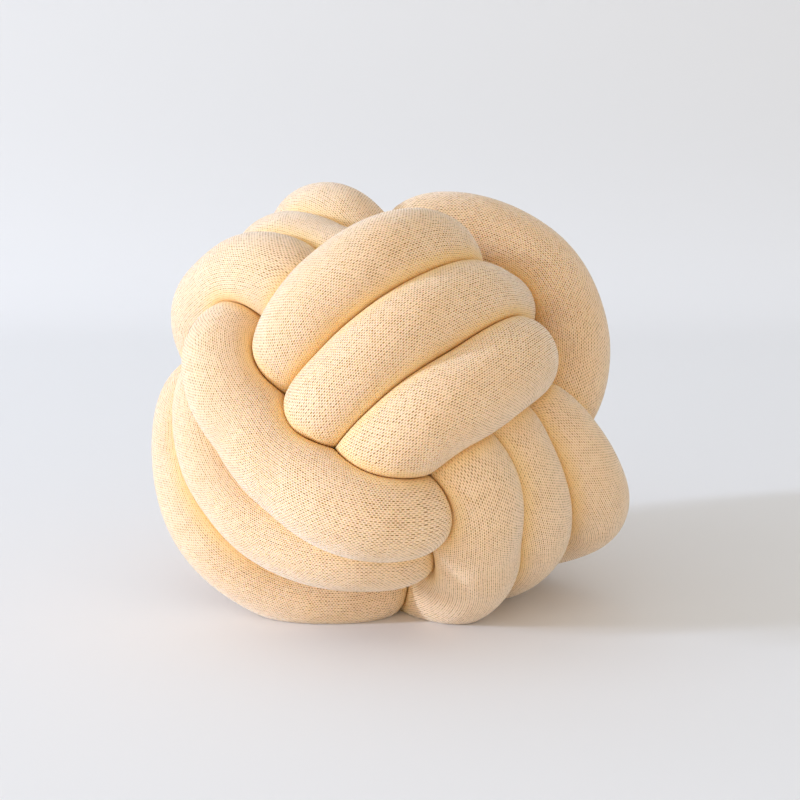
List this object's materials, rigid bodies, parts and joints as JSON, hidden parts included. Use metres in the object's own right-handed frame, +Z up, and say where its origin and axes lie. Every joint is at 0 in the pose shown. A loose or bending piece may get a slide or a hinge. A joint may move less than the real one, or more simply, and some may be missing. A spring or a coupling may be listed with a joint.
{
  "type": "knot cushion",
  "caption": "Ball-shaped cushion made of a long stuffed knit tube tied into a ball knot, for a sofa, bed or armchair.",
  "frame": {"origin": "middle of the bounding box, on the surface that the cushion rests on", "axes": "+Z up; the face whose strands lie nearest the viewer looks toward -Y and upward; +X to the viewer's right"},
  "size_m": [0.315, 0.3212, 0.2701],
  "materials": {
    "knit": "matt fine stockinette knit, pale butter cream"
  },
  "bodies": {
    "root": {"knotted_tube": "knit"}
  },
  "joints": []
}
